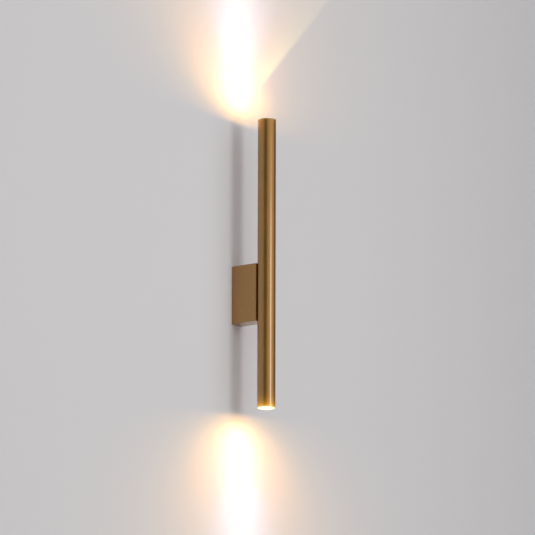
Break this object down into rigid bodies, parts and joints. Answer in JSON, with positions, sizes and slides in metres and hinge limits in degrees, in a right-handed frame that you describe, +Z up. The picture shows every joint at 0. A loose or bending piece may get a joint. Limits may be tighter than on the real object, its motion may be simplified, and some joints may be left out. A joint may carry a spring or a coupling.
{
  "type": "tube wall light",
  "caption": "Upright round tube in satin gold, lit at both ends, carried in front of the wall by a slim box that hides its driver and wiring.",
  "frame": {"origin": "middle of the wall box's back, on the wall", "axes": "+Y into the wall, +Z up along the tube, +X to the right for someone who faces the wall"},
  "size_m": [0.031, 0.0775, 0.5],
  "materials": {
    "satin_gold": "satin metallic lacquer on aluminium",
    "opal_acrylic": "frosted opal, lit from behind",
    "zinc_steel": "zinc plated",
    "gold_screw": "lacquered to match the tube",
    "black_rubber": "moulded",
    "white_nylon": "moulded",
    "clamp_brass": "turned",
    "driver_case": "moulded",
    "green_laminate": "solder resist on glass laminate",
    "winding_tape": "wound with tape",
    "capacitor_sleeve": "shrink sleeve",
    "copper_winding": "enamelled copper wire on a ring",
    "grey_foam": "adhesive foam",
    "earth_insulation": "extruded",
    "brown_insulation": "extruded",
    "white_insulation": "extruded",
    "clear_acrylic": "polished",
    "black_nylon": "moulded",
    "phosphor": "silicone dome over phosphor",
    "board_aluminium": "white resist on aluminium",
    "thermal_silicone": "soft sheet",
    "bare_aluminium": "turned"
  },
  "bodies": {
    "root": {"tube": "satin_gold", "wall_box": "satin_gold", "upper_diffuser": "opal_acrylic", "lower_diffuser": "opal_acrylic", "wall_bracket": "zinc_steel", "box_fixing_screws": "zinc_steel", "earth_screw": "zinc_steel", "terminal_screws": "zinc_steel", "tube_screws": "zinc_steel", "tube_screw_washers": "zinc_steel", "tube_nut_bar": "zinc_steel", "earth_lug": "zinc_steel", "upper_led_board_screws": "zinc_steel", "lower_led_board_screws": "zinc_steel", "upper_heat_sink_screw": "gold_screw", "lower_heat_sink_screw": "gold_screw", "cable_grommet": "black_rubber", "terminal_body": "white_nylon", "wire_bushing": "white_nylon", "terminal_clamps": "clamp_brass", "driver_base": "driver_case", "driver_lid": "driver_case", "driver_pcb": "green_laminate", "driver_transformer": "winding_tape", "driver_capacitors": "capacitor_sleeve", "driver_choke": "copper_winding", "driver_pad": "grey_foam", "earth_lead": "earth_insulation", "mains_leads": "brown_insulation", "led_supply_leads": "white_insulation", "led_link_lead": "white_insulation", "upper_lens": "clear_acrylic", "lower_lens": "clear_acrylic", "upper_lens_holder": "black_nylon", "lower_lens_holder": "black_nylon", "upper_led_emitter": "phosphor", "lower_led_emitter": "phosphor", "upper_led_board": "board_aluminium", "lower_led_board": "board_aluminium", "upper_thermal_pad": "thermal_silicone", "lower_thermal_pad": "thermal_silicone", "upper_heat_sink": "bare_aluminium", "lower_heat_sink": "bare_aluminium"}
  },
  "joints": []
}
